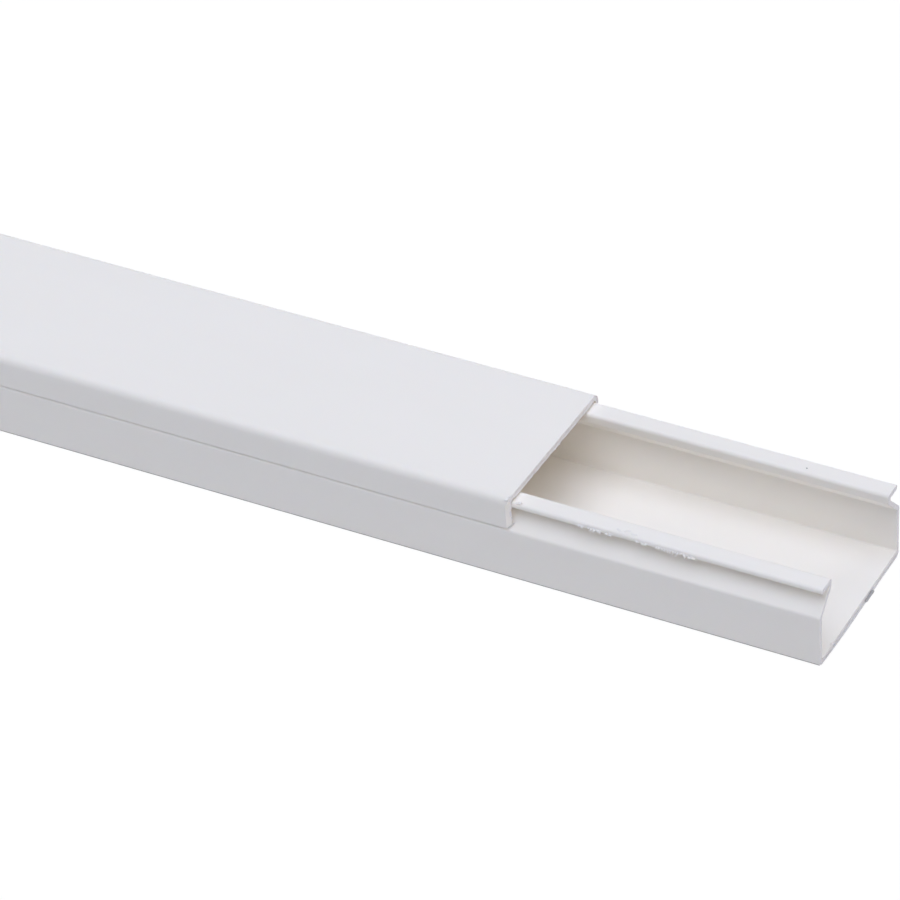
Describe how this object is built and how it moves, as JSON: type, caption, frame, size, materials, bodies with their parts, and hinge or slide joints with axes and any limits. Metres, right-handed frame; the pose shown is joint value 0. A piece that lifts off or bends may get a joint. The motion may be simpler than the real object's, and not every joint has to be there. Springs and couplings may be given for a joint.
{
  "type": "cable trunking",
  "caption": "White PVC cable trunking: a U-shaped base channel with cranked walls and lips, and a flat clip-on cover that slides along it.",
  "frame": {"origin": "middle of the base's flat underside, the face that goes against the wall", "axes": "+X along the trunking towards the bare end of the base, +Y across it, +Z out of the wall through the cover"},
  "size_m": [2.068, 0.04, 0.02],
  "materials": {
    "base_pvc": "satin extruded white PVC",
    "cover_pvc": "satin extruded white PVC"
  },
  "bodies": {
    "base": {"base": "base_pvc"},
    "cover": {"cover": "cover_pvc"}
  },
  "joints": [
    {"name": "cover_slide", "type": "slide", "parent": "base", "child": "cover", "axis": [1, 0, 0], "range_m": [-1.94, 0.068]}
  ]
}
